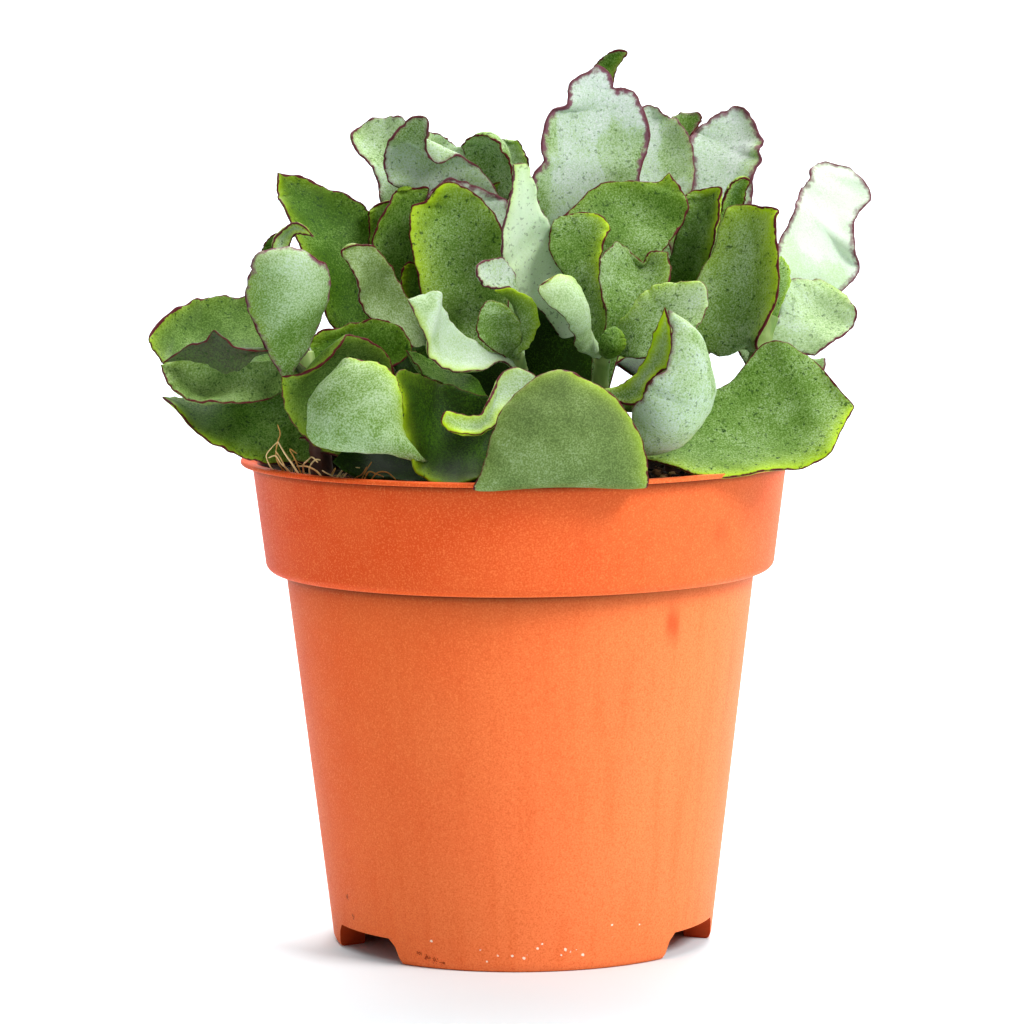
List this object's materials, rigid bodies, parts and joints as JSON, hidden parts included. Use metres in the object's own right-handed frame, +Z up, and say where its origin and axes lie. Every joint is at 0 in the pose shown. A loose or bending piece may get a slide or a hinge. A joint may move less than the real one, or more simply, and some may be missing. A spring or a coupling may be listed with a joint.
{
  "type": "potted curly jade plant",
  "caption": "Jade plant with broad, wavy, curled succulent leaves on short upright stems, growing in soil in a round plastic nursery pot.",
  "frame": {"origin": "middle of the box in plan, at the bottom of the pot's foot ring, on the surface the pot stands on", "axes": "+Z up along the pot's axis, -Y towards the front that the picture shows, +X to its right"},
  "size_m": [0.1541, 0.1282, 0.1914],
  "materials": {
    "pot_plastic": "satin, finely grained",
    "soil": "rough and crumbly",
    "leaf": "waxy, with a pale bloom"
  },
  "bodies": {
    "root": {"pot": "pot_plastic", "soil": "soil", "leafy_stem_left": "leaf", "leafy_stem_front": "leaf", "leafy_stem_mid": "leaf", "leafy_stem_rosea": "leaf", "leafy_stem_roseb": "leaf", "leafy_stem_tall": "leaf", "leafy_stem_rear": "leaf", "leafy_stem_right": "leaf", "leafy_stem_nose": "leaf", "leafy_stem_back_left": "leaf", "leafy_stem_back_mid": "leaf", "leafy_stem_back_right": "leaf"}
  },
  "joints": []
}
